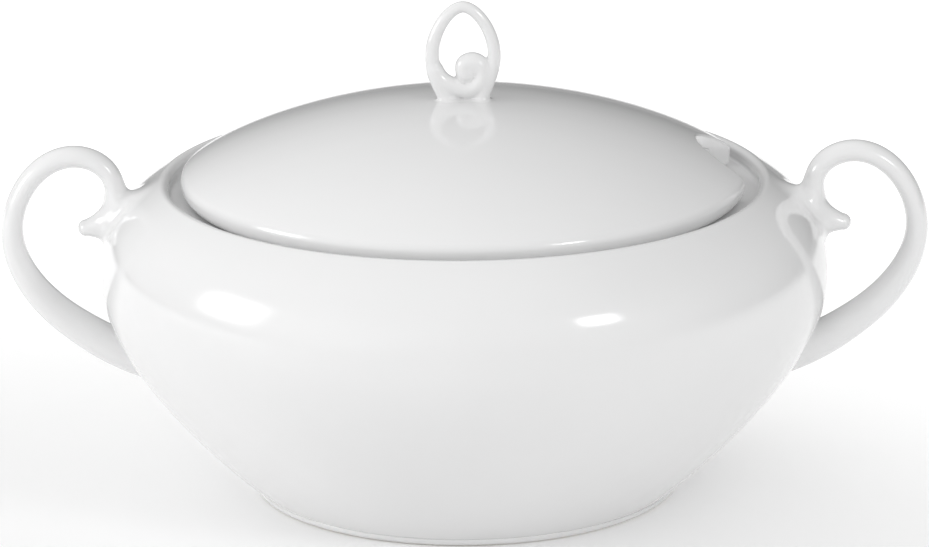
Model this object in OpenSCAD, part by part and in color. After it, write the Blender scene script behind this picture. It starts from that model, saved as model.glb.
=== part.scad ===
// Lidded soup tureen. A round, shouldered bowl stands on a low foot ring and carries two scrolled
// strap handles. A domed lid rests on a gallery inside the mouth. It has an open loop knob with a
// curl in it, a locating flange below, and a cut-out in its rim for a ladle's handle.
// The axis of the bowl is Z, the table is z = 0, and the handles lie on the X axis.

/* [Bowl] */
// Widest diameter of the bowl
bowl_d = 249.8; // [240:0.1:260]
// Height of the widest circle above the table
belly_z = 75.3; // [72:0.1:78]
// Outer diameter of the foot ring
foot_d = 147.8; // [140:0.1:156]
// Height of the foot ring
foot_h = 2.8; // [2.4:0.1:3.4]
// Thickness of the bowl's wall
wall = 5; // [4:0.1:6]
// Height of the top of the lip
lip_z = 108.6; // [106:0.1:110]
// Diameter of the lip's highest circle
lip_d = 207; // [204:0.1:210]
// Radius of the rounded lip
lip_r = 2.27; // [2:0.01:2.6]

/* [Gallery] */
// Depth of the gallery that the lid rests on, below the top of the lip
gallery_depth = 4.7; // [4.2:0.1:5.2]
// Diameter of the throat inside the gallery
throat_d = 179.2; // [178:0.1:181]

/* [Lid] */
// Widest diameter of the lid
lid_d = 194; // [192:0.1:196]
// Height of the top of the dome above the table
dome_z = 136.3; // [132:0.1:140]
// Slope of the dome where it meets the rounded edge, in degrees
dome_slope = 36; // [32:1:40]
// Radius of the upper, rounded half of the lid's edge
edge_r = 3.65; // [3.2:0.05:4]
// Thickness of the dome
lid_t = 5; // [4:0.1:6]
// Outer diameter of the locating flange
flange_d = 176; // [174:0.1:177]
// Thickness of the locating flange
flange_t = 5.4; // [4.6:0.1:5.6]
// How far the flange reaches below the lid's seat
flange_h = 9.9; // [6:0.1:12]

/* [Ladle cut-out] */
// Radius of the cut-out's hollow curve
notch_r = 24; // [22:0.5:26]
// Distance of its inner end from the lid's axis
notch_inner = 80; // [79.5:0.1:81]
// Radius of its two outer corners
notch_corner = 3; // [2.5:0.5:5]
// Direction of the cut-out, in degrees from the right-hand handle
notch_angle = 3.6; // [0:0.2:8]

/* [Handles] */
// Farthest reach of a handle from the bowl's axis
handle_reach = 159; // [156:0.1:162]
// Height of the highest point of a handle
handle_top = 120.7; // [118:0.1:122]
// Thickness of the strap at its top, seen from the front
strap_t = 7.4; // [6:0.1:8]
// Width of the strap at its top, across the handle
strap_w = 9.6; // [8:0.1:12]

/* [Knob] */
// Height of the top of the knob above the table
knob_top = 170.5; // [168:0.1:173]
// Half the distance between the middles of the loop's two limbs
knob_half = 10.6; // [10:0.1:11]
// Thickness of the loop at its top
loop_t = 3.9; // [3.4:0.1:4.4]

/* [Hidden] */

round_fn = 240;      // segments round the axis
curve_steps = 24;    // points on each long curve of a profile
round_steps = 8;     // points on each small rounding

bowl_r = bowl_d / 2;
foot_r = foot_d / 2;
seat_z = lip_z - gallery_depth;
throat_r = throat_d / 2;
lip_c = [lip_d / 2, lip_z - lip_r];      // centre of the lip's rounding
mouth_r = lip_c.x - lip_r;               // wall of the mouth above the gallery
lip_slope = 31.5;                        // slope of the shoulder where it meets the lip
foot_inner = 66.9;                       // inner radius of the foot ring at its top
recess_z = 3.6;                          // underside of the bowl inside the foot ring
floor_z = 8.2;                           // soup side of the floor

// ---------- curves ----------

function bez(p, t) = pow(1 - t, 3) * p[0] + 3 * pow(1 - t, 2) * t * p[1]
    + 3 * (1 - t) * t * t * p[2] + pow(t, 3) * p[3];

function slope(p, t) = 3 * pow(1 - t, 2) * (p[1] - p[0]) + 6 * (1 - t) * t * (p[2] - p[1])
    + 3 * t * t * (p[3] - p[2]);

function unit(v) = v / norm(v);

// Points along a curve, without its first point, so that curves chain.
function along(p, steps = curve_steps) = [for (i = [1:steps]) bez(p, i / steps)];

// Points of an arc, without its first point. A second radius makes it a quarter of an ellipse.
function arc(c, r, from, to, r2 = 0, steps = round_steps) = [for (i = [1:steps])
    let (a = from + (to - from) * i / steps) c + [r * cos(a), (r2 > 0 ? r2 : r) * sin(a)]];

// The same curve moved sideways by d, to the left of its direction.
function beside(p, d, from, to, steps = curve_steps) = [for (i = [0:steps])
    let (t = from + (to - from) * i / steps, s = unit(slope(p, t))) bez(p, t) + d * [-s.y, s.x]];

// ---------- bowl ----------

// The outside runs from the foot up to the belly, then over the shoulder to the lip.
lower = [[foot_r, foot_h], [foot_r + 10.4, foot_h + 8], [bowl_r, belly_z - 26.7], [bowl_r, belly_z]];
lip_start = lip_c + lip_r * [sin(lip_slope), cos(lip_slope)];
upper = [[bowl_r, belly_z], [bowl_r, belly_z + 19],
    lip_start + 13.3 * [cos(lip_slope), -sin(lip_slope)], lip_start];
outside = concat([lower[0]], along(lower), along(upper));

// The inside keeps the wall's thickness from near the foot up to under the gallery.
floor_join = 0.15;      // where on the lower curve the wall runs into the floor
wall_inside = beside(lower, wall, floor_join, 1);
wall_foot = wall_inside[0];
gallery_under = seat_z - wall;
under_gallery = [wall_inside[curve_steps], [bowl_r - wall, belly_z + 15],
    [bowl_r - 16, gallery_under], [throat_r + 2, gallery_under]];
floor_curve = [[40, floor_z], [60, floor_z], wall_foot - [4, 3.6], wall_foot];

module bowl_profile() {
    polygon(concat(
        [[0, recess_z], [foot_inner - 0.8, recess_z]],
        arc([foot_inner - 0.8, foot_h], 0.8, 90, 0, steps = 4),
        outside,
        arc(lip_c, lip_r, 90 - lip_slope, 180),
        [[mouth_r, seat_z + 1.2]],
        arc([mouth_r - 1.2, seat_z + 1.2], 1.2, 0, -90, steps = 5),
        [[throat_r + 1.5, seat_z]],
        arc([throat_r + 1.5, seat_z - 1.5], 1.5, 90, 180, steps = 5),
        arc([throat_r + 2, gallery_under + 2], 2, 180, 270, steps = 5),
        [for (i = [1:curve_steps]) bez(under_gallery, 1 - i / curve_steps)],
        [for (i = [1:curve_steps]) wall_inside[curve_steps - i]],
        [for (i = [1:round_steps]) bez(floor_curve, 1 - i / round_steps)],
        [[0, floor_z]]));
}

module bowl() {
    color("white") rotate_extrude($fn = round_fn) bowl_profile();
}

// Everything inside the bowl's outer surface, which the handles are cut back to.
module bowl_envelope() {
    rotate_extrude($fn = round_fn) polygon(concat([[0, foot_h]], outside, [[0, lip_start.y]]));
}

module foot_ring() {
    flat_out = foot_r - foot_h;
    flat_in = flat_out - 1.8;
    color("ivory") rotate_extrude($fn = round_fn) polygon(concat(
        [[foot_inner, foot_h], [flat_in, 0], [flat_out, 0]],
        arc([flat_out, foot_h], foot_h, -90, 0)));
}

// ---------- lid ----------

lid_r = lid_d / 2;
edge_z = seat_z + 5.3;                       // height of the lid's widest circle
edge_c = [lid_r - edge_r, edge_z];           // centre of the upper rounding
dome_start = edge_c + edge_r * [sin(dome_slope), cos(dome_slope)];
dome = [dome_start, dome_start + 14.4 * [-cos(dome_slope), sin(dome_slope)],
    [0.455 * lid_r, dome_z], [0, dome_z]];
seat_outer = lid_r - 4.5;
seat_inner = seat_outer - 2;
flange_r = flange_d / 2;
flange_in = flange_r - flange_t;
under_out = [flange_r, seat_z + 8];          // underside of the dome, where the flange joins
under_in = [flange_in, seat_z + 10.6];
under_dome = [under_in, under_in + [-14, 8.4], [0.42 * lid_r, dome_z - lid_t], [0, dome_z - lid_t]];

module lid_profile() {
    polygon(concat(
        [[0, dome_z - lid_t]],
        [for (i = [1:curve_steps]) bez(under_dome, 1 - i / curve_steps)],
        [under_out, [flange_r, seat_z + 2.5], [seat_inner, seat_z], [seat_outer, seat_z]],
        arc([seat_outer, edge_z], lid_r - seat_outer, -90, 0, edge_z - seat_z),
        arc(edge_c, edge_r, 0, 90 - dome_slope),
        along(dome)));
}

// A shallow bay in the rim, whose two corners are rounded off onto the rim.
module ladle_cut() {
    overrun = 0.8;      // how far the corners' curves run past the rim, to cut it cleanly
    mid = notch_inner + notch_r;
    corner_reach = lid_r + overrun - notch_corner;
    x = (pow(corner_reach, 2) - pow(notch_r + notch_corner, 2) + mid * mid) / (2 * mid);
    corner = [x, sqrt(pow(corner_reach, 2) - x * x)];
    facing = atan2(corner.y, mid - corner.x);
    rim_angle = atan2(corner.y, corner.x);
    outside_r = lid_r + 10;
    upper_side = concat(
        arc([mid, 0], notch_r, 180, 180 - facing, steps = 14),
        arc(corner, notch_corner, -facing, rim_angle),
        [outside_r * [cos(rim_angle), sin(rim_angle)]]);
    rotate(notch_angle) translate([0, 0, seat_z - flange_h - 1]) linear_extrude(40) polygon(concat(
        [[notch_inner, 0]],
        upper_side,
        [for (i = [1:len(upper_side)]) let (p = upper_side[len(upper_side) - i]) [p.x, -p.y]]));
}

module lid() {
    color("white") difference() {
        rotate_extrude($fn = round_fn) lid_profile();
        ladle_cut();
    }
}

module lid_flange() {
    foot = seat_z - flange_h;
    color("white") difference() {
        rotate_extrude($fn = round_fn) polygon([[flange_in + 1, foot], [flange_r - 1.4, foot],
            [flange_r, foot + 1.6], under_out, under_in, [flange_in, foot + 1.2]]);
        ladle_cut();
    }
}

// Everything inside the dome's outer surface, which the knob is cut back to.
module lid_envelope() {
    rotate_extrude($fn = round_fn) polygon(concat([[0, edge_z], dome_start], along(dome)));
}

// ---------- swept tubes ----------

// Slope of a run of values at its i-th one.
function run_slope(v, i) = i == 0 ? v[1] - v[0] : i == len(v) - 1 ? v[i] - v[i - 1] : (v[i + 1] - v[i - 1]) / 2;

// Value at s (0 to 1) of a smooth curve through equally spaced values.
function ramp(v, s) = let (u = s * (len(v) - 1), i = min(floor(u), len(v) - 2), f = u - i,
    a = run_slope(v, i), b = run_slope(v, i + 1), rise = v[i + 1] - v[i])
    v[i] + f * (a + f * (3 * rise - 2 * a - b + f * (a + b - 2 * rise)));

// A chain of curves as one path: the point and the unit direction at s (0 to 1).
function chain_at(chain, s) = let (u = s * len(chain), i = min(floor(u), len(chain) - 1))
    [bez(chain[i], u - i), unit(slope(chain[i], u - i))];

// An oval ring across the path: t is its size in the plane of the path, w its size across it.
function ring(at, t, w, sides) = let (p = at[0], d = at[1]) [for (k = [0:sides - 1])
    let (a = 360 * k / sides) [p.x - d.y * t / 2 * cos(a), w / 2 * sin(a), p.y + d.x * t / 2 * cos(a)]];

module tube(rings) {
    n = len(rings[0]);
    last = (len(rings) - 1) * n;
    polyhedron(
        points = [for (r = rings) each r],
        faces = concat(
            [[for (k = [0:n - 1]) n - 1 - k]],
            [[for (k = [0:n - 1]) last + k]],
            [for (i = [0:len(rings) - 2], k = [0:n - 1]) let (a = i * n + k, b = i * n + (k + 1) % n)
                each [[a, b + n, a + n], [a, b, b + n]]]));
}

// How much a closed, rounded end narrows the tube over its last part, from s = begin to 1.
function taper(s, begin) = s < begin ? 1 : sqrt(max(1 - pow((s - begin) / (1 - begin), 2), 0.0004));

// ---------- handles ----------

root = [119.7, 104.8];                       // where the strap leaves the shoulder, upright
top_mid = [133.5, handle_top - strap_t / 2];
side_mid = [handle_reach - 3.8, 90.5];
low_mid = [135.2, 58.2];
strap_path = [
    [[115, 88], [118.4, 94], [119.7, 98.8], root],
    [root, root + [0, 7.2], top_mid - [7.5, 0], top_mid],
    [top_mid, top_mid + [12, 0], side_mid + [0, 13], side_mid],
    [side_mid, side_mid - [0, 11.5], [147.4, 67], low_mid],
    [low_mid, [127, 52.2], [117, 46], [100, 42]]];
strap_steps = 50;
strap_sides = 20;

spur_path = [[[113.5, 94.5], [120, 94.3], [125, 92.2], [132.5, 91.8]]];
spur_steps = 18;

module handle() {
    color("white") difference() {
        union() {
            tube([for (i = [0:strap_steps]) let (s = i / strap_steps)
                ring(chain_at(strap_path, s),
                    ramp([9, 7, strap_t, strap_t + 0.1, 11.3, 14], s),
                    ramp([12, strap_w + 0.2, strap_w, strap_w + 1, 13.5, 18], s), strap_sides)]);
            tube([for (i = [0:spur_steps]) let (s = i / spur_steps, k = taper(s, 0.85))
                ring(chain_at(spur_path, s),
                    k * ramp([15, 13.4, 9, 5.6], s), k * ramp([14, 11, 8.6, 7], s), strap_sides)]);
        }
        bowl_envelope();
    }
}

module handle_right() { handle(); }
module handle_left() { mirror([1, 0, 0]) handle(); }

// ---------- knob ----------

knob_mid = knob_top - loop_t / 2;            // middle of the tube at the top of the loop
widest_z = 151.5;                            // height at which the loop is widest
base_z = dome_z - 4;
loop_path = [
    [[-3.6, base_z], [-5, 137.5], [-knob_half, 142.5], [-knob_half, widest_z]],
    [[-knob_half, widest_z], [-knob_half, 160], [-4.6, knob_mid], [0, knob_mid]],
    [[0, knob_mid], [4.6, knob_mid], [knob_half, 160], [knob_half, widest_z]],
    [[knob_half, widest_z], [knob_half - 0.4, 144], [6.4, 140.5], [5.2, base_z]]];
loop_steps = 48;
loop_sides = 16;

// The left limb also runs on under the loop, up beside the right limb and over, and winds in to
// the volute's eye. The spaces between the turns are closed by a thinner web.
eye = [2.2, 146.2];
volute_turn = 405;
volute_steps = 44;
function volute_point(s) = let (a = 180 + volute_turn * s)
    eye + ramp([11.4, 7.6, 6.3, 5, 4.2, 3.9, 3.2, 2.9, 2.5, 2.2], s) * [cos(a), sin(a)];
function volute_at(s) = [volute_point(s), unit(volute_point(min(s + 0.01, 1)) - volute_point(max(s - 0.01, 0)))];
web_r = 4.4;
web_t = 4.6;

module knob_base() {
    hull() {
        for (x = [-4.2, 5.6]) translate([x, 0, 139.4]) sphere(r = 3, $fn = 32);
        translate([0.7, 0, base_z]) linear_extrude(1) circle(r = 6.2, $fn = 32);
    }
}

module knob() {
    color("white") difference() {
        union() {
            tube([for (i = [0:loop_steps]) let (s = i / loop_steps)
                ring(chain_at(loop_path, s), ramp([6.2, 4.8, loop_t, 4.5, 5.4], s),
                    ramp([6.4, 4.8, loop_t, 4.8, 6.4], s), loop_sides)]);
            tube([for (i = [0:volute_steps]) let (s = i / volute_steps)
                ring(volute_at(s), ramp([5.2, 5.8, 6, 5.6, 5.2, 5.4, 5.6, 4.9, 4.1, 3.2], s),
                    ramp([6, 6.6, 7, 7, 6.8, 6.6, 6.4, 6.4, 6.4, 6.4], s), loop_sides)]);
            translate([eye.x, web_t / 2, eye.y]) rotate([90, 0, 0]) cylinder(r = web_r, h = web_t, $fn = 48);
            knob_base();
        }
        lid_envelope();
    }
}

bowl();
foot_ring();
handle_left();
handle_right();
lid();
lid_flange();
knob();
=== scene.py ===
"""Looks of the soup tureen: glazed white porcelain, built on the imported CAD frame.

Profiles are worked out in millimetres, in the row frame: the handles lie along X, +Y is the back and
+Z is up. Meshes are made in metres. Round pieces are turned from their profiles. The handles and the
knob are skins over distance fields, so that they flow into the bowl and the lid as luted clay does.
"""
import math

import bmesh
import bpy
import numpy as np
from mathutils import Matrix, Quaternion, Vector


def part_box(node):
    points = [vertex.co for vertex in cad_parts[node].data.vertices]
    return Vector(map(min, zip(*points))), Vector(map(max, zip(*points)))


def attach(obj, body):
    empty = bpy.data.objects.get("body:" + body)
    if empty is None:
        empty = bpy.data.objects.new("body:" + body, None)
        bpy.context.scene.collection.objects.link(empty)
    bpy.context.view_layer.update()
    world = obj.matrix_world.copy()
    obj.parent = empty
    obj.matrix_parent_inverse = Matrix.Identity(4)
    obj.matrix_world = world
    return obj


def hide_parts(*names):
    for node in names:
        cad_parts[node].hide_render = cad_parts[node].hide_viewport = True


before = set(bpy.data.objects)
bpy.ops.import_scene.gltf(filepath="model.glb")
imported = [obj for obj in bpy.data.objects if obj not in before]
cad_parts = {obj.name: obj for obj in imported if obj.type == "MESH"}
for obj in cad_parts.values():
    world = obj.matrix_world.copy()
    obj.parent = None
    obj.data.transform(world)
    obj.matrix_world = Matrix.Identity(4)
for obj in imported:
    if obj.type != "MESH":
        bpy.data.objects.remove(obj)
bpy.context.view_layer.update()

MM = 0.001


def low_corner(node):
    """A CAD node's lowest corner, in millimetres."""
    return np.array(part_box(node)[0]) / MM


def high_corner(node):
    """A CAD node's highest corner, in millimetres."""
    return np.array(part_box(node)[1]) / MM


# ---------- sizes: first those that the frame gives, then the others ----------

BOWL_R = high_corner("bowl")[0]         # widest radius
LIP_TOP = high_corner("bowl")[2]
FOOT_R = round(high_corner("foot_ring")[0], 1)
FOOT_H = high_corner("foot_ring")[2]
LID_R = high_corner("lid")[1]           # widest radius, away from the ladle cut-out
DOME_TOP = high_corner("lid")[2]
SEAT_Z = low_corner("lid")[2]           # where the lid rests on the gallery
FLANGE_FOOT = low_corner("lid_flange")[2]
FLANGE_R = high_corner("lid_flange")[1]
HANDLE_REACH = high_corner("handle_right")[0]
HANDLE_TOP = high_corner("handle_right")[2]
KNOB_TOP = high_corner("knob")[2]

BELLY_Z = 75.3
WALL = 5.0
LIP_R = 2.27
LIP_CENTRE = np.array([103.5, LIP_TOP - LIP_R])
LIP_SLOPE = math.radians(31.5)          # slope of the shoulder at the lip
THROAT_R = 89.6
FOOT_INNER_R = 66.9
RECESS_Z = 3.6
FLOOR_Z = 8.2
DOME_SLOPE = math.radians(36)           # slope of the dome at the lid's edge
EDGE_R = 3.65
EDGE_Z = SEAT_Z + 5.3
LID_T = 5.0
FLANGE_T = 5.4
FLANGE_OUTER_H = 8.0                    # the flange meets the dome this far above the seat, outside
FLANGE_INNER_H = 10.6                   # and inside
NOTCH_ANGLE = math.radians(3.6)         # direction of the ladle cut-out
NOTCH_R = 24.0
NOTCH_MID = 104.0
NOTCH_CORNER = 3.0
NOTCH_EDGE_R = 1.4                      # rounding of the lid's top edge inside the cut-out
SEAT_INSET = 4.5                        # how far the lid's edge turns in to its seat
LID_INNER_R = 70.0                      # the cut-out changes nothing nearer to the axis than this

PROUD = 0.0012                          # a skin's vertices higher than this above its base are kept
SUNK = 0.03                             # its border is sunk this far into the base
PLUG = 1.0                              # and closed off this far below

LIGHT_AIM = Vector((0, 0, 0.08))        # the softboxes face this point, in metres
SOFT_EDGE = 0.85                        # share of a softbox's half width that fades towards its edge


# ---------- curves ----------

def bezier(points, steps):
    """Points of a cubic curve, both ends included."""
    t = np.linspace(0, 1, steps + 1)[:, None]
    a, b, c, d = np.asarray(points, float)
    return (1 - t) ** 3 * a + 3 * (1 - t) ** 2 * t * b + 3 * (1 - t) * t ** 2 * c + t ** 3 * d


def arc(centre, radius, start, end, steps, radius_z=None):
    """Points of an arc, or of a quarter ellipse, with its angles in degrees."""
    a = np.radians(np.linspace(start, end, steps + 1))
    tall = radius if radius_z is None else radius_z
    return np.asarray(centre, float) + np.stack([radius * np.cos(a), tall * np.sin(a)], 1)


def beside(points, distance):
    """A line of points moved to the left of its direction."""
    way = np.gradient(points, axis=0)
    way /= np.linalg.norm(way, axis=1)[:, None]
    return points + distance * np.stack([-way[:, 1], way[:, 0]], 1)


def joined(*pieces):
    """Several lines of points as one, without repeated points."""
    line = np.vstack([np.atleast_2d(p) for p in pieces])
    keep = np.ones(len(line), bool)
    keep[1:] = np.linalg.norm(np.diff(line, axis=0), axis=1) > 1e-4
    return line[keep]


# ---------- meshes ----------

def make_object(name, verts_mm, faces, normals=None):
    """A smooth-shaded mesh object, from points in millimetres."""
    mesh = bpy.data.meshes.new(name)
    mesh.from_pydata((np.asarray(verts_mm) * MM).tolist(), [], [list(f) for f in faces])
    mesh.validate()
    mesh.update()
    mesh.polygons.foreach_set("use_smooth", [True] * len(mesh.polygons))
    if normals is None:
        work = bmesh.new()
        work.from_mesh(mesh)
        bmesh.ops.recalc_face_normals(work, faces=work.faces)
        work.to_mesh(mesh)
        work.free()
    else:
        mesh.normals_split_custom_set_from_vertices(np.asarray(normals, float).tolist())
    thing = bpy.data.objects.new(name, mesh)
    bpy.context.scene.collection.objects.link(thing)
    return thing


def loft_faces(rows, columns, closed):
    """Quads between rows of vertices; closed joins the last column to the first."""
    span = columns if closed else columns - 1
    return [(r * columns + c, r * columns + (c + 1) % columns,
             (r + 1) * columns + (c + 1) % columns, (r + 1) * columns + c)
            for r in range(rows - 1) for c in range(span)]


def turned(name, profile, around):
    """A profile turned about Z. Ends that lie on the axis are closed to a point."""
    on_axis = [profile[0][0] < 1e-6, profile[-1][0] < 1e-6]
    rings = profile[int(on_axis[0]):len(profile) - int(on_axis[1])]
    a = np.linspace(0, 2 * np.pi, around, endpoint=False)
    verts = np.stack([np.outer(rings[:, 0], np.cos(a)), np.outer(rings[:, 0], np.sin(a)),
                      np.repeat(rings[:, 1:2], around, 1)], -1).reshape(-1, 3)
    faces = loft_faces(len(rings), around, True)
    last = (len(rings) - 1) * around
    for end, first, height in ((0, 0, profile[0][1]), (1, last, profile[-1][1])):
        if on_axis[end]:
            tip = len(verts)
            verts = np.vstack([verts, [0, 0, height]])
            faces += [(first + c, first + (c + 1) % around, tip) for c in range(around)]
    if not on_axis[0]:
        faces += [(c, (c + 1) % around, last + (c + 1) % around, last + c) for c in range(around)]
    return make_object(name, verts, faces)


# ---------- bowl and foot ring ----------

def bowl_outside(steps):
    """The outer line of the bowl, from the foot ring to the lip."""
    lip_start = LIP_CENTRE + LIP_R * np.array([math.sin(LIP_SLOPE), math.cos(LIP_SLOPE)])
    along_shoulder = np.array([math.cos(LIP_SLOPE), -math.sin(LIP_SLOPE)])
    lower = bezier([(FOOT_R, FOOT_H), (FOOT_R + 10.4, FOOT_H + 8), (BOWL_R, BELLY_Z - 26.7),
                    (BOWL_R, BELLY_Z)], steps)
    upper = bezier([(BOWL_R, BELLY_Z), (BOWL_R, BELLY_Z + 19), lip_start + 13.3 * along_shoulder,
                    lip_start], steps)
    return lower, upper


def bowl_profile():
    lower, upper = bowl_outside(72)
    mouth_r = LIP_CENTRE[0] - LIP_R
    under_z = SEAT_Z - WALL
    recess_corner = 0.8
    gallery_corner = 1.2
    throat_edge = 1.5
    throat_under = 2
    floor_steps = 11                        # steps of the wall below the place where the floor meets it
    wall_inside = beside(lower, WALL)[floor_steps:]
    under_gallery = bezier([(BOWL_R - WALL, BELLY_Z), (BOWL_R - WALL, BELLY_Z + 15),
                            (BOWL_R - 16, under_z), (THROAT_R + throat_under, under_z)], 40)
    floor = bezier([(40, FLOOR_Z), (60, FLOOR_Z), wall_inside[0] - (4, 3.6), wall_inside[0]], 16)
    return joined(
        (0, RECESS_Z), (30, RECESS_Z), (55, RECESS_Z), (FOOT_INNER_R - recess_corner, RECESS_Z),
        arc((FOOT_INNER_R - recess_corner, FOOT_H), recess_corner, 90, 0, 6),
        lower, upper,
        arc(LIP_CENTRE, LIP_R, 90 - math.degrees(LIP_SLOPE), 180, 22),
        arc((mouth_r - gallery_corner, SEAT_Z + gallery_corner), gallery_corner, 0, -90, 8),
        arc((THROAT_R + throat_edge, SEAT_Z - throat_edge), throat_edge, 90, 180, 10),
        arc((THROAT_R + throat_under, under_z + throat_under), throat_under, 180, 270, 10),
        under_gallery[::-1], wall_inside[::-1], floor[::-1],
        (20, FLOOR_Z), (0, FLOOR_Z))


def make_bowl(around):
    bowl = turned("bowl_glazed", bowl_profile(), around)
    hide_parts("bowl")
    return bowl


def make_foot_ring(around):
    standing_band = 1.8
    flat_out = FOOT_R - FOOT_H
    flat_in = flat_out - standing_band
    inner = bezier([(FOOT_INNER_R, FOOT_H), (FOOT_INNER_R + 0.4, 0.8), (flat_in - 1.0, 0),
                    (flat_in, 0)], 12)
    outer = arc((flat_out, FOOT_H), FOOT_H, -90, 0, 14)
    ring = turned("foot_ring_wiped", joined(inner, outer), around)
    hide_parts("foot_ring")
    return ring


# ---------- distance fields ----------

def smoothstep(low, high, value):
    t = np.clip((value - low) / (high - low), 0, 1)
    return t * t * (3 - 2 * t)


def nearest_on(line, points):
    """The place on a line nearest to each point, as a fractional index, and how far past its ends."""
    index = np.empty(len(points), int)
    squared = (line ** 2).sum(1)
    for start in range(0, len(points), 20000):
        part = points[start:start + 20000]
        index[start:start + 20000] = (squared - 2 * part @ line.T).argmin(1)
    way = np.gradient(line, axis=0)
    step = np.linalg.norm(way, axis=1)
    ahead = ((points - line[index]) * way[index]).sum(1) / step[index]
    place = index + np.clip(ahead / step[index], -0.75, 0.75)
    past = np.where(place < 0, -ahead, np.where(place > len(line) - 1, ahead, 0))
    return np.clip(place, 0, len(line) - 1), past


def along_line(line, place):
    """Point and unit direction at fractional indices of a line."""
    grid = np.arange(len(line))
    way = np.gradient(line, axis=0)
    point = np.stack([np.interp(place, grid, line[:, k]) for k in (0, 1)], 1)
    way = np.stack([np.interp(place, grid, way[:, k]) for k in (0, 1)], 1)
    return point, way / np.linalg.norm(way, axis=1)[:, None]


def sweep_field(path, thick, wide):
    """Distance from an oval tube along a path in the XZ plane, with rounded ends.

    thick is its size in the plane of the path and wide its size across it, along the path."""
    grid = np.arange(len(path))

    def field(p):
        flat = p[:, [0, 2]]
        place, past = nearest_on(path, flat)
        point, way = along_line(path, place)
        off = flat - point
        a = np.interp(place, grid, thick) / 2
        b = np.interp(place, grid, wide) / 2
        u = off[:, 1] * way[:, 0] - off[:, 0] * way[:, 1]
        g = np.sqrt((u / a) ** 2 + (p[:, 1] / b) ** 2 + (past / a) ** 2)
        steep = np.sqrt(u ** 2 / a ** 4 + p[:, 1] ** 2 / b ** 4 + past ** 2 / a ** 4)
        return (g - 1) * g / np.maximum(steep, 1e-9)
    return field


def turned_field(line):
    """Distance from a surface turned about Z: above 0 on the left of its line."""
    def field(p):
        flat = np.stack([np.hypot(p[:, 0], p[:, 1]), p[:, 2]], 1)
        place, _ = nearest_on(line, flat)
        point, way = along_line(line, place)
        off = flat - point
        return off[:, 0] * way[:, 1] - off[:, 1] * way[:, 0]
    return field


def melted(a, b, width):
    """The lesser of two distances, with a soft fillet where they meet."""
    near = np.maximum(width - np.abs(a - b), 0) / width
    return np.minimum(a, b) - near ** 3 * width / 6


def slope_of(field, p, step=0.02):
    """Gradient of a field by central differences."""
    columns = []
    for k in range(3):
        offset = np.zeros(3)
        offset[k] = step
        columns.append((field(p + offset) - field(p - offset)) / (2 * step))
    return np.stack(columns, 1)


def surface_net(field, low, high, step):
    """Vertices and quads of a field's zero surface, with one vertex in each grid cell it crosses."""
    low = np.asarray(low, float)
    size = np.ceil((np.asarray(high) - low) / step).astype(int) + 1
    axes = [low[k] + step * np.arange(size[k]) for k in range(3)]
    value = field(np.stack(np.meshgrid(*axes, indexing="ij"), -1).reshape(-1, 3)).reshape(size)
    cells = size - 1
    points, owners, quads = [], [], []
    for axis in range(3):
        here = np.take(value, np.arange(cells[axis]), axis)
        there = np.take(value, np.arange(1, size[axis]), axis)
        cross = (here < 0) != (there < 0)
        corner = np.argwhere(cross)
        point = low + step * corner.astype(float)
        point[:, axis] += step * (here[cross] / (here[cross] - there[cross]))
        u, v = [k for k in range(3) if k != axis]
        around = []
        for du, dv in ((0, 0), (1, 0), (1, 1), (0, 1)):
            cell = corner.copy()
            cell[:, u] -= du
            cell[:, v] -= dv
            valid = ((cell >= 0) & (cell < cells)).all(1)
            flat = (cell[:, 0] * cells[1] + cell[:, 1]) * cells[2] + cell[:, 2]
            around.append(np.where(valid, flat, -1))
            points.append(point[valid])
            owners.append(flat[valid])
        quad = np.stack(around, 1)
        turn = (here[cross] < 0) == (axis == 1)
        quad[turn] = quad[turn][:, ::-1]
        quads.append(quad[(quad >= 0).all(1)])
    points, owners, quads = np.vstack(points), np.concatenate(owners), np.vstack(quads)
    used, index = np.unique(owners, return_inverse=True)
    share = np.bincount(index)
    verts = np.stack([np.bincount(index, points[:, k]) / share for k in range(3)], 1)
    return verts, np.searchsorted(used, quads)


def settled(verts, quads, field, rounds):
    """Vertices spread evenly over the zero surface, and the surface's normals there."""
    edges = np.unique(np.sort(np.vstack([quads[:, [k, (k + 1) % 4]] for k in range(4)]), 1), axis=0)
    both = np.vstack([edges, edges[:, ::-1]])
    share = np.bincount(both[:, 0], minlength=len(verts))
    pull = 0.6
    for turn in range(rounds + 2):
        if turn < rounds:
            total = [np.bincount(both[:, 0], verts[both[:, 1], k], len(verts)) for k in range(3)]
            mean = np.stack(total, 1) / np.maximum(share, 1)[:, None]
            verts = verts + pull * (mean - verts)
        slope = slope_of(field, verts)
        verts = verts - (field(verts) / np.maximum((slope ** 2).sum(1), 1e-6))[:, None] * slope
    slope = slope_of(field, verts)
    return verts, slope / np.linalg.norm(slope, axis=1)[:, None]


def closed_inside(verts, quads, normals, depth):
    """Faces that close a skin's open borders, a little way inside the body that it lies on."""
    edges = np.vstack([quads[:, [k, (k + 1) % 4]] for k in range(4)])
    known = set(map(tuple, edges.tolist()))
    following = {a: b for a, b in known if (b, a) not in known}
    verts, normals, faces = verts.tolist(), normals.tolist(), quads.tolist()
    while following:
        loop = []
        here = next(iter(following))
        while here in following:
            loop.append(here)
            here = following.pop(here)
        start = len(verts)
        for v in loop:
            verts.append([verts[v][k] - depth * normals[v][k] for k in range(3)])
            normals.append(normals[v])
        n = len(loop)
        faces += [[loop[(k + 1) % n], loop[k], start + k, start + (k + 1) % n] for k in range(n)]
        faces.append([start + n - 1 - k for k in range(n)])
    return np.array(verts), faces, np.array(normals)


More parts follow.
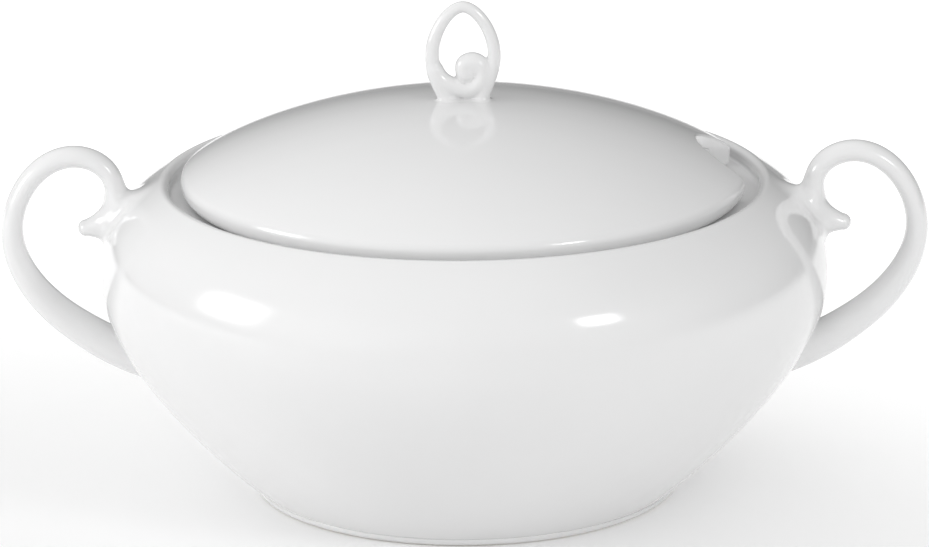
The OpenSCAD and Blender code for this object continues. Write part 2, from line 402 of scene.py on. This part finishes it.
def skin(name, field, base, low, high, step, rounds=5):
    """The surface of a field where it stands proud of its base, closed inside the base."""
    verts, quads = surface_net(field, low, high, step)
    verts, normals = settled(verts, quads, field, rounds)
    height = base(verts)
    quads = quads[(height[quads] > PROUD).any(1)]
    used, flat = np.unique(quads, return_inverse=True)
    quads = flat.reshape(-1, 4)
    verts, normals, height = verts[used], normals[used], height[used]
    verts = verts - np.where(height > PROUD, 0, SUNK)[:, None] * normals
    verts, faces, normals = closed_inside(verts, quads, normals, PLUG)
    return make_object(name, verts, faces, normals)


# ---------- handles ----------

def smooth_run(values, count):
    """A smooth curve through equally spaced values, as an array."""
    values = np.asarray(values, float)
    u = np.linspace(0, len(values) - 1, count)
    i = np.minimum(u.astype(int), len(values) - 2)
    f = u - i
    slopes = np.gradient(values)
    rise = values[i + 1] - values[i]
    return (values[i] + f * (slopes[i] + f * (3 * rise - 2 * slopes[i] - slopes[i + 1]
                                              + f * (slopes[i] + slopes[i + 1] - 2 * rise))))


def chain(curves, steps):
    """A chain of cubic curves as one line of points, with the same steps on each."""
    lines = [bezier(c, steps) for c in curves]
    return np.vstack([lines[0]] + [line[1:] for line in lines[1:]])


def handle_fields():
    """The field of the right handle melted onto the bowl, and that of the bowl alone."""
    thick, wide = 7.4, 9.6
    root = np.array([119.7, 104.8])
    top = np.array([133.5, HANDLE_TOP - thick / 2])
    side = np.array([HANDLE_REACH - 3.75, 90.5])
    low = np.array([135.2, 58.2])
    strap = chain([
        [(115, 88), (118.4, 94), (119.7, 98.8), root],
        [root, root + (0, 7.2), top - (7.5, 0), top],
        [top, top + (12, 0), side + (0, 13), side],
        [side, side - (0, 11.5), (147.4, 67), low],
        [low, (127, 52.2), (117, 46), (100, 42)]], 80)
    spur = bezier([(113.5, 94.5), (119.5, 94.3), (124.5, 92.4), (129.8, 91.8)], 60)
    strap_field = sweep_field(strap, smooth_run([9, 7, thick, 7.5, 11.3, 14], len(strap)),
                              smooth_run([12, 9.8, wide, wide + 1, 13.5, 18], len(strap)))
    spur_field = sweep_field(spur, smooth_run([15, 13.4, 9.2, 5.6], len(spur)),
                             smooth_run([15, 12, 9, 7], len(spur)))
    lip = arc(LIP_CENTRE, LIP_R, 90 - math.degrees(LIP_SLOPE), 180, 20)
    bowl_field = turned_field(joined(*bowl_outside(140), lip))

    def whole(p):
        handle = melted(strap_field(p), spur_field(p), 8)
        fillet = 2.4 + 4.4 * smoothstep(62, 92, p[:, 2]) + 3.4 * smoothstep(98, 103, p[:, 2])
        return melted(handle, bowl_field(p), fillet)
    return whole, bowl_field


def make_handles(step):
    whole, bowl_field = handle_fields()
    right = skin("handle_right_glazed", whole, bowl_field, (104, -18, 32),
                 (HANDLE_REACH + 2, 18, HANDLE_TOP + 2), step)
    left = right.copy()
    left.data = right.data.copy()
    left.name = left.data.name = "handle_left_glazed"
    bpy.context.scene.collection.objects.link(left)
    mirror(left.data)
    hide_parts("handle_right")
    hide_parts("handle_left")
    return right, left


def mirror(mesh):
    """A mesh mirrored in the YZ plane, with its faces and normals still pointing out."""
    normals = np.empty(len(mesh.loops) * 3)
    mesh.corner_normals.foreach_get("vector", normals)
    count = len(mesh.vertices)
    verts = np.empty(count * 3)
    mesh.vertices.foreach_get("co", verts)
    index = np.empty(len(mesh.loops), int)
    mesh.loops.foreach_get("vertex_index", index)
    vertex_normals = np.zeros((count, 3))
    vertex_normals[index] = normals.reshape(-1, 3)
    verts = verts.reshape(-1, 3) * (-1, 1, 1)
    mesh.vertices.foreach_set("co", verts.ravel())
    mesh.flip_normals()
    mesh.update()
    mesh.normals_split_custom_set_from_vertices((vertex_normals * (-1, 1, 1)).tolist())


# ---------- knob ----------

def dome_line(steps):
    """The outer line of the dome, from the lid's edge to the axis."""
    edge = np.array([LID_R - EDGE_R, EDGE_Z])
    start = edge + EDGE_R * np.array([math.sin(DOME_SLOPE), math.cos(DOME_SLOPE)])
    along = np.array([-math.cos(DOME_SLOPE), math.sin(DOME_SLOPE)])
    return bezier([start, start + 14.4 * along, (0.455 * LID_R, DOME_TOP), (0, DOME_TOP)], steps)


def knob_fields():
    """The field of the knob melted onto the dome, and that of the dome alone.

    Two limbs rise from the dome and meet in a pointed loop. The left one also runs on under the loop,
    up beside the right limb and over, and winds into its eye as a volute."""
    half = 10.6
    bar = 3.9
    top = KNOB_TOP - bar / 2
    wide_z = 151.5
    base_z = DOME_TOP - 4
    loop = chain([
        [(-3.6, base_z), (-5, 137.5), (-half, 142.5), (-half, wide_z)],
        [(-half, wide_z), (-half, 160), (-4.6, top), (0, top)],
        [(0, top), (4.6, top), (half, 160), (half, wide_z)],
        [(half, wide_z), (half - 0.4, 144), (6.4, 140.5), (5.2, base_z)]], 60)
    loop_field = sweep_field(loop, smooth_run([6.2, 4.8, bar, 4.5, 5.4], len(loop)),
                             smooth_run([6.4, 4.8, bar, 4.8, 6.4], len(loop)))
    eye = np.array([2.2, 146.2])
    turn = np.radians(np.linspace(180, 585, 240))
    reach = smooth_run([11.4, 7.6, 6.3, 5.0, 4.2, 3.9, 3.2, 2.9, 2.5, 2.2], 240)
    volute = eye + reach[:, None] * np.stack([np.cos(turn), np.sin(turn)], 1)
    volute_field = sweep_field(
        volute, smooth_run([5.2, 5.8, 6, 5.8, 5.6, 6, 6.2, 5.6, 4.6, 3.6], 240),
        smooth_run([6, 6.6, 7, 7, 6.8, 6.6, 6.4, 6.2, 6, 5.8], 240))
    web = bezier([(-3, 140), (0, 141.5), (3.2, 143), (4.5, 146.5)], 40)
    web_field = sweep_field(web, smooth_run([4, 8, 7, 4], 41), np.full(41, 4.8))
    heart = bezier([(0.8, 145.4), (1.8, 145.8), (2.6, 146.6), (3.4, 147.4)], 20)
    heart_field = sweep_field(heart, np.full(21, 5.4), np.full(21, 5.8))
    dome = dome_line(200)
    dome_field = turned_field(np.vstack([dome[:-1], (0, DOME_TOP), (-3, DOME_TOP)]))

    def whole(p):
        scroll = melted(melted(volute_field(p), heart_field(p), 2.4), web_field(p), 1.4)
        return melted(melted(loop_field(p), scroll, 2.2), dome_field(p), 2.4)
    return whole, dome_field


def make_knob(step):
    whole, dome_field = knob_fields()
    knob = skin("knob_glazed", whole, dome_field, (-20, -14, 130), (20, 14, KNOB_TOP + 1.5), step)
    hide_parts("knob")
    return knob


# ---------- lid ----------

def lid_outline(rim_count, corner_count, inner_count):
    """The lid's outline in plan, anticlockwise, as if the ladle cut-out opened towards +X.

    Gives its points, the ways out of the lid, a share that rises from 0 on the round rim to 1 inside
    the cut-out, and an even spread of angles for the same columns further in."""
    big = LID_R - NOTCH_CORNER
    reach = NOTCH_R + NOTCH_CORNER
    x = (big ** 2 - reach ** 2 + NOTCH_MID ** 2) / (2 * NOTCH_MID)
    y = math.sqrt(big ** 2 - x ** 2)
    first = math.atan2(y, x)
    facing = math.atan2(y, NOTCH_MID - x)
    spans = [(first, 2 * np.pi - first, rim_count), (-first, facing, corner_count),
             (facing, -facing, inner_count), (-facing, first, corner_count)]
    angles = [np.linspace(a, b, n, endpoint=False) for a, b, n in spans]
    ways = [np.stack([np.cos(a), np.sin(a)], 1) for a in angles]
    points = np.vstack([LID_R * ways[0], (x, -y) + NOTCH_CORNER * ways[1],
                        (NOTCH_MID, 0) - NOTCH_R * ways[2], (x, y) + NOTCH_CORNER * ways[3]])
    ease = (1 - np.cos(np.pi * np.arange(corner_count) / corner_count)) / 2
    share = np.concatenate([np.zeros(rim_count), ease, np.ones(inner_count), 1 - ease])
    open_angle = 0.34
    inner_turn = 2 * corner_count + inner_count
    spread = np.concatenate([np.linspace(open_angle, 2 * np.pi - open_angle, rim_count, endpoint=False),
                             np.linspace(-open_angle, open_angle, inner_turn, endpoint=False)])
    return points, np.vstack(ways), share, spread


def turned_to_notch(plan):
    """Plan points turned from +X to the direction of the ladle cut-out."""
    c, s = math.cos(NOTCH_ANGLE), math.sin(NOTCH_ANGLE)
    return plan @ np.array([[c, s], [-s, c]])


def under_line():
    """The lid's underside, from the seat to the axis."""
    joint = np.array([FLANGE_R - FLANGE_T, SEAT_Z + FLANGE_INNER_H])
    crown_z = DOME_TOP - LID_T
    hollow = bezier([joint, joint + (-14, 8.4), (0.42 * LID_R, crown_z), (0, crown_z)], 60)
    seat = [(LID_R - SEAT_INSET, SEAT_Z), (LID_R - SEAT_INSET - 2, SEAT_Z)]
    return np.vstack([seat, [(FLANGE_R + 0.05, SEAT_Z + 2.5), (FLANGE_R, SEAT_Z + FLANGE_OUTER_H)], hollow])


def height_on(line, plan):
    """Heights over plan points of a surface turned about Z, from a line whose radii grow."""
    return np.interp(np.linalg.norm(plan, axis=1), line[:, 0], line[:, 1])


def edge_start(rim, ways, edge_r, dome):
    """Where the dome runs over into the rounded edge, in plan, and how far the dome leans there."""
    slope = np.gradient(dome[:, 1], dome[:, 0] + 1e-9 * np.arange(len(dome)))
    start = rim - edge_r[:, None] * ways
    for _ in range(4):
        r = np.linalg.norm(start, axis=1)
        steep = np.interp(r, dome[:, 0], slope)
        lean = np.arctan(-steep * (start * ways).sum(1) / r)
        start = rim - (edge_r * (1 - np.sin(lean)))[:, None] * ways
    return start, lean


def lid_top_rows(rim, ways, share, ring):
    """Rows of plan points and heights, from beside the axis over the dome to the edge's widest line."""
    dome = dome_line(1500)[::-1]
    edge_r = EDGE_R + share * (NOTCH_EDGE_R - EDGE_R)
    start, lean = edge_start(rim, ways, edge_r, dome)
    rows = [(r * ring, height_on(dome, r * ring)) for r in np.linspace(2, LID_INNER_R, 40)]
    for t in np.linspace(0, 1, 25)[1:]:
        plan = (1 - t) * LID_INNER_R * ring + t * start
        rows.append((plan, height_on(dome, plan)))
    for t in np.linspace(0, 1, 15)[1:]:
        a = lean + t * (np.pi / 2 - lean)
        plan = rim - (edge_r * (1 - np.sin(a)))[:, None] * ways
        rows.append((plan, height_on(dome, start) - edge_r * (np.cos(lean) - np.cos(a))))
    return rows


def lid_side_rows(rim, ways, share, widest_z, under):
    """Rows from the edge's widest line down to the seat. Inside the cut-out they are nearly upright,
    with a softer lower edge where it crosses the rim."""
    crossing = smoothstep(88, 91, np.linalg.norm(rim, axis=1))
    soft = 0.2 + 2 * crossing
    inset = (1 - share) * SEAT_INSET + share * soft
    foot = height_on(under[::-1], rim - inset[:, None] * ways)
    tall = np.minimum((1 - share) * (EDGE_Z - SEAT_Z) + share * soft, widest_z - foot)
    rows = []
    for a in np.radians(np.linspace(0, 90, 15)):
        plan = rim - (inset * (1 - np.cos(a)))[:, None] * ways
        rows.append((plan, foot + tall * (1 - np.sin(a))))
    return rows


def lid_under_rows(bottom, foot, ring, under):
    """Rows of the underside, from the foot of the edge to beside the axis."""
    t = np.linspace(0, 1, 60)
    lines = (1 - t)[:, None, None] * bottom + t[:, None, None] * LID_INNER_R * ring
    radii = np.linalg.norm(lines, axis=2)
    rows = []
    for r, z in under[1:]:
        if r <= LID_INNER_R:
            break
        place = np.array([np.interp(-r, -column, t) for column in radii.T])[:, None]
        plan = (1 - place) * bottom + place * LID_INNER_R * ring
        rows.append((plan, np.where(r < radii[0], z, foot)))
    return rows + [(r * ring, np.full(len(ring), z)) for r, z in under if 1 < r <= LID_INNER_R]


def make_lid(fine):
    rim, ways, share, spread = lid_outline(*fine)
    ring = np.stack([np.cos(spread), np.sin(spread)], 1)
    under = under_line()
    rows = lid_top_rows(rim, ways, share, ring)
    rows += lid_side_rows(rim, ways, share, rows[-1][1], under)
    rows += lid_under_rows(*rows[-1], ring, under)
    tips = [[(0, 0, DOME_TOP)], [(0, 0, DOME_TOP - LID_T)]]
    verts = np.vstack([np.column_stack([turned_to_notch(plan), height]) for plan, height in rows] + tips)
    count = len(rim)
    last = (len(rows) - 1) * count
    top = last + count
    faces = loft_faces(len(rows), count, True)
    faces += [(c, (c + 1) % count, top) for c in range(count)]
    faces += [(last + c, last + (c + 1) % count, top + 1) for c in range(count)]
    lid = make_object("lid_glazed", verts, faces)
    weld(lid.data)
    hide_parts("lid")
    return lid


def weld(mesh):
    """Repeated points merged, and edges sharper than a glaze would round marked as sharp."""
    work = bmesh.new()
    work.from_mesh(mesh)
    bmesh.ops.remove_doubles(work, verts=work.verts, dist=0.004 * MM)
    bmesh.ops.dissolve_degenerate(work, dist=0.002 * MM, edges=work.edges)
    bmesh.ops.recalc_face_normals(work, faces=work.faces)
    work.to_mesh(mesh)
    work.free()
    mesh.set_sharp_from_angle(angle=math.radians(50))


def make_lid_flange(around):
    """The locating flange under the lid, open where the ladle cut-out crosses it."""
    inner = FLANGE_R - FLANGE_T
    inner_round = 1.2
    outer_round = 1.5
    outer_rise = 1.6
    profile = joined(
        arc((inner + inner_round, FLANGE_FOOT + inner_round), inner_round, 180, 270, 8),
        arc((FLANGE_R - outer_round, FLANGE_FOOT + outer_rise), outer_round, 270, 360, 8, outer_rise),
        (FLANGE_R, SEAT_Z + FLANGE_OUTER_H), (inner, SEAT_Z + FLANGE_INNER_H))
    clearance = 0.04
    rows = []
    for r, z in profile:
        half = math.acos((r ** 2 + NOTCH_MID ** 2 - NOTCH_R ** 2) / (2 * r * NOTCH_MID)) + clearance / r
        a = NOTCH_ANGLE + np.linspace(half, 2 * np.pi - half, around)
        rows.append(np.stack([r * np.cos(a), r * np.sin(a), np.full(around, z)], 1))
    verts = np.stack(rows, 1).reshape(-1, 3)
    n = len(profile)
    faces = loft_faces(around, n, True)
    faces += [tuple(range(n)), tuple(range((around - 1) * n, around * n))]
    flange = make_object("lid_flange_glazed", verts, faces)
    flange.data.set_sharp_from_angle(angle=math.radians(40))
    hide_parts("lid_flange")
    return flange


# ---------- materials ----------

def connect(tree, value, socket):
    """Fills a socket with a plain value, or with a link if the value is another socket."""
    if isinstance(value, bpy.types.NodeSocket):
        tree.links.new(value, socket)
    else:
        socket.default_value = value


def add_node(tree, kind, *values, **named):
    """A new node. Values fill its inputs in order, and names are those of inputs or of settings."""
    item = tree.nodes.new(kind)
    for key, value in named.items():
        if key in item.inputs:
            connect(tree, value, item.inputs[key])
        else:
            setattr(item, key, value)
    for socket, value in zip(item.inputs, values):
        connect(tree, value, socket)
    return item


def maths(tree, operation, *values):
    return add_node(tree, "ShaderNodeMath", *values, operation=operation).outputs["Value"]


def noise(tree, place, scale, detail):
    return add_node(tree, "ShaderNodeTexNoise", Vector=place, Scale=scale, Detail=detail).outputs["Fac"]


def mapped(tree, value, low, high, first, last, ease="LINEAR"):
    """A value's span from low to high mapped to first to last, and held there beyond it."""
    item = add_node(tree, "ShaderNodeMapRange", value, low, high, first, last, interpolation_type=ease)
    return item.outputs["Result"]


def blend(tree, share, first, last):
    """One colour turning into another as the share rises from 0 to 1."""
    item = add_node(tree, "ShaderNodeMix", share, data_type="RGBA")
    connect(tree, first, item.inputs[6])
    connect(tree, last, item.inputs[7])
    return item.outputs[2]


def new_material(name):
    """A node material, with its node tree and its Principled shader."""
    material = bpy.data.materials.new(name)
    material.use_nodes = True
    return material, material.node_tree, material.node_tree.nodes["Principled BSDF"]


def fired_colour(tree, place):
    """White porcelain under clear glaze: hardly visible clouds, and rare tiny specks."""
    clouds = mapped(tree, noise(tree, place, 16.0, 3.0), 0.3, 0.7, 0, 1)
    colour = blend(tree, clouds, (0.775, 0.775, 0.776, 1), (0.79, 0.79, 0.791, 1))
    cells = add_node(tree, "ShaderNodeTexVoronoi", Vector=place, Scale=60.0)
    rare = mapped(tree, cells.outputs["Color"], 0.86, 0.9, 0, 0.35)
    spot = mapped(tree, cells.outputs["Distance"], 0.006, 0.014, 1, 0)
    return blend(tree, maths(tree, "MULTIPLY", rare, spot), colour, (0.3, 0.27, 0.23, 1))


def glazed_above(tree, place, line):
    """A share that is 1 above a wavering line at a height in millimetres, and 0 below it."""
    sway = 0.9 * MM
    blur = 0.04 * MM
    middle = line * MM - sway / 2
    height = add_node(tree, "ShaderNodeSeparateXYZ", place).outputs["Z"]
    swayed = maths(tree, "MULTIPLY_ADD", noise(tree, place, 55.0, 3.0), -sway, height)
    return mapped(tree, swayed, middle - blur, middle + blur, 0, 1)


def glaze(name, bare_below=None):
    """Clear glossy glaze over white porcelain, with the uneven surface that firing leaves.

    bare_below is a height in millimetres under which the glaze was wiped off and the body is bare."""
    material, tree, shader = new_material(name)
    place = add_node(tree, "ShaderNodeTexCoord").outputs["Object"]
    fine = noise(tree, place, 700.0, 2.0)
    colour = fired_colour(tree, place)
    roughness = mapped(tree, fine, 0.3, 0.7, 0.09, 0.14)
    coat = 0.5
    if bare_below is not None:
        glazed = glazed_above(tree, place, bare_below)
        colour = blend(tree, glazed, (0.7, 0.68, 0.64, 1), colour)
        roughness = mapped(tree, glazed, 0, 1, 0.55, 0.08)
        coat = 0
    ripple = add_node(tree, "ShaderNodeBump", Height=noise(tree, place, 30.0, 1.0), Strength=1.0,
                      Distance=0.04 * MM)
    peel = add_node(tree, "ShaderNodeBump", Height=fine, Strength=1.0, Distance=0.0012 * MM,
                    Normal=ripple.outputs["Normal"])
    for key, value in (("IOR", 1.5), ("Coat Weight", coat), ("Coat Roughness", 0.06),
                       ("Base Color", colour), ("Roughness", roughness),
                       ("Normal", peel.outputs["Normal"])):
        connect(tree, value, shader.inputs[key])
    return material


# ---------- stage, lights and camera ----------

def make_floor():
    """A white floor with painted light and shade. It glows a little behind the object and to the right,
    where less light falls, as painted light, and is painted grey far behind as painted shade, so that
    the glaze has something darker to mirror at its edges."""
    bpy.ops.mesh.primitive_plane_add(size=12, location=(0, 0, 0))
    floor = bpy.context.object
    floor.name = "floor"
    material, tree, shader = new_material("floor_paper")
    place = add_node(tree, "ShaderNodeTexCoord").outputs["Object"]
    away = add_node(tree, "ShaderNodeVectorMath", place, operation="LENGTH").outputs["Value"]
    back = add_node(tree, "ShaderNodeSeparateXYZ", place).outputs["Y"]
    right_back = add_node(tree, "ShaderNodeVectorMath", place, (0.45, 0.89, 0),
                          operation="DOT_PRODUCT").outputs["Value"]
    # painted shade: the floor's colour turns grey far behind the object
    white = mapped(tree, back, 0.75, 1.3, 0.93, 0.35, "SMOOTHSTEP")
    near = mapped(tree, away, 0.75, 1.2, 1, 0, "SMOOTHSTEP")
    # painted light: the floor glows behind the object and to the right, where less light falls
    painted_glow = mapped(tree, right_back, -0.18, 0.25, 0.01, 0.32, "SMOOTHSTEP")
    for key, value in (("Roughness", 0.9), ("Specular IOR Level", 0.1), ("Base Color", white),
                       ("Emission Color", (1, 1, 1, 1)),
                       ("Emission Strength", maths(tree, "MULTIPLY", near, painted_glow))):
        connect(tree, value, shader.inputs[key])
    floor.data.materials.append(material)


def toward(azimuth, rise):
    """A unit direction: azimuth in degrees from the front, + to the right, and degrees above level."""
    a, e = math.radians(azimuth), math.radians(rise)
    return Vector((math.sin(a) * math.cos(e), -math.cos(a) * math.cos(e), math.sin(e)))


def make_softbox(name, azimuth, rise, distance, size, power):
    """A softbox that faces the middle of the object, brightest in its middle."""
    data = bpy.data.lights.new(name, "AREA")
    data.shape = "RECTANGLE"
    data.size, data.size_y = size
    data.use_nodes = True
    tree = data.node_tree
    place = add_node(tree, "ShaderNodeNewGeometry").outputs["Parametric"]
    sides = add_node(tree, "ShaderNodeSeparateXYZ", place)
    inward = [maths(tree, "PINGPONG", sides.outputs[axis], 0.5) for axis in "XY"]
    faded = [mapped(tree, value, 0, SOFT_EDGE / 2, 0, 1, "SMOOTHSTEP") for value in inward]
    connect(tree, maths(tree, "MULTIPLY", *faded), tree.nodes["Emission"].inputs["Strength"])
    data.energy = power / (1 - SOFT_EDGE / 2) ** 2
    light = bpy.data.objects.new(name, data)
    bpy.context.scene.collection.objects.link(light)
    way = toward(azimuth, rise)
    light.location = LIGHT_AIM + distance * way
    light.rotation_euler = (-way).to_track_quat("-Z", "Y").to_euler()


def make_camera():
    """The view of the photograph: a long lens, 2 m away and 16.8 degrees up."""
    distance = 2.0
    rise = math.radians(16.8)
    roll = -0.0082
    aimed_up = 0.02167
    aimed_left = 0.00015
    data = bpy.data.cameras.new("camera")
    data.sensor_width = 36
    data.lens = 224.6
    camera = bpy.data.objects.new("camera", data)
    bpy.context.scene.collection.objects.link(camera)
    middle = Vector((0, 0, 0.05175))
    camera.location = middle + distance * Vector((0, -math.cos(rise), math.sin(rise)))
    up = Vector((0, math.sin(rise), math.cos(rise)))
    aim = middle + aimed_up * up - Vector((aimed_left, 0, 0))
    track = (aim - camera.location).to_track_quat("-Z", "Y")
    camera.rotation_mode = "QUATERNION"
    camera.rotation_quaternion = track @ Quaternion((0, 0, 1), roll)
    bpy.context.scene.camera = camera


def make_world(lobes):
    """A studio that is bright in broad, soft lobes: (azimuth, rise, strength, tightness) each."""
    world = bpy.data.worlds.new("studio")
    bpy.context.scene.world = world
    world.use_nodes = True
    tree = world.node_tree
    way = add_node(tree, "ShaderNodeTexCoord").outputs["Generated"]
    total = 0
    for azimuth, rise, strength, tightness in lobes:
        facing = add_node(tree, "ShaderNodeVectorMath", way, toward(azimuth, rise), operation="DOT_PRODUCT")
        above = maths(tree, "MAXIMUM", facing.outputs["Value"], 0)
        lobe = maths(tree, "POWER", above, tightness)
        total = maths(tree, "MULTIPLY_ADD", lobe, strength, total)
    background = tree.nodes["Background"]
    background.inputs["Color"].default_value = (1, 1, 1, 1)
    connect(tree, total, background.inputs["Strength"])


def make_light_set():
    """The studio's lobes and two softboxes.

    The lobes' directions were chosen. Their strengths, and the softboxes' first powers, come
    from a least squares fit to the photograph's brightness, rounded and then adjusted."""
    make_world([(0, 8, 0.41, 5), (45, 8, 0.8, 5), (-45, 8, 1.0, 5), (-90, 8, 0.12, 5), (-135, 8, 0.5, 5),
                (0, 45, 0.22, 4), (60, 45, 0.4, 4), (120, 45, 0.14, 4), (-60, 45, 0.18, 4),
                (-120, 45, 0.5, 4), (180, 45, 0.28, 4), (0, 90, 0.5, 4)])
    make_softbox("key_left", -77.5, 18, 1.5, (0.84, 0.84), 6.2)
    make_softbox("fill_right", 43.0, 26.5, 1.6, (0.46, 0.44), 3.0)


# ---------- the whole object ----------

bowl = make_bowl(512)
foot_ring = make_foot_ring(512)
handle_right, handle_left = make_handles(0.6)
lid = make_lid(((520, 18, 44)))
lid_flange = make_lid_flange(400)
knob = make_knob(0.4)

white_glaze = glaze("white_glaze")
foot_glaze = glaze("foot_glaze", bare_below=0.6)
for piece, body, slot in ((bowl, "bowl", "bowl_glaze"), (foot_ring, "bowl", "foot_glaze"),
                          (handle_left, "bowl", "handle_glaze"), (handle_right, "bowl", "handle_glaze"),
                          (lid, "lid", "lid_glaze"), (lid_flange, "lid", "flange_glaze"),
                          (knob, "lid", "knob_glaze")):
    piece.data.materials.clear()
    piece.data.materials.append(foot_glaze if piece is foot_ring else white_glaze)
    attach(piece, body)

make_floor()
make_light_set()
make_camera()
bpy.context.scene.view_settings.view_transform = "Standard"
